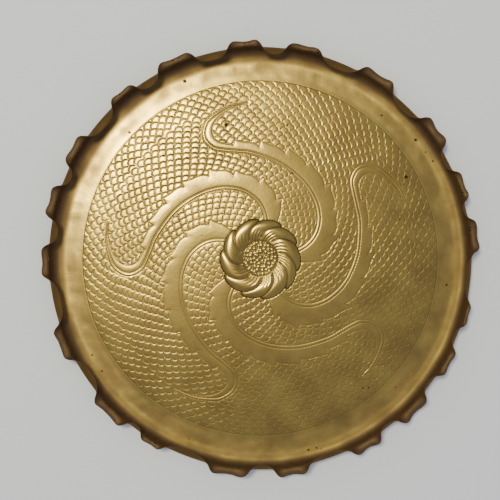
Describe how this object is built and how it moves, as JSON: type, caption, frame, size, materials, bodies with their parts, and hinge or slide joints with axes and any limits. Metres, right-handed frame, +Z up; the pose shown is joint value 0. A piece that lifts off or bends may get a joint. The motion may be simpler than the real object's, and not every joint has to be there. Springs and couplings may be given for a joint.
{
  "type": "round chased brass tray",
  "caption": "Round flat-bottomed brass tray with a swirling repousse flower boss, chased scale fronds, and an upright wall crimped in and out like a pie crust.",
  "frame": {"origin": "on the ground under the middle of the tray, in the plane of the well's underside", "axes": "+Z up through the middle of the flower boss, +X and +Y in the plane that the tray rests on, with the whole tray on their positive and negative sides alike"},
  "size_m": [0.5332, 0.5321, 0.0296],
  "materials": {
    "aged_brass": "hand-hammered and chased sheet brass, satin from old polishing, with brown patina in the rim and in the chased lines"
  },
  "bodies": {
    "root": {"tray_sheet": "aged_brass"}
  },
  "joints": []
}
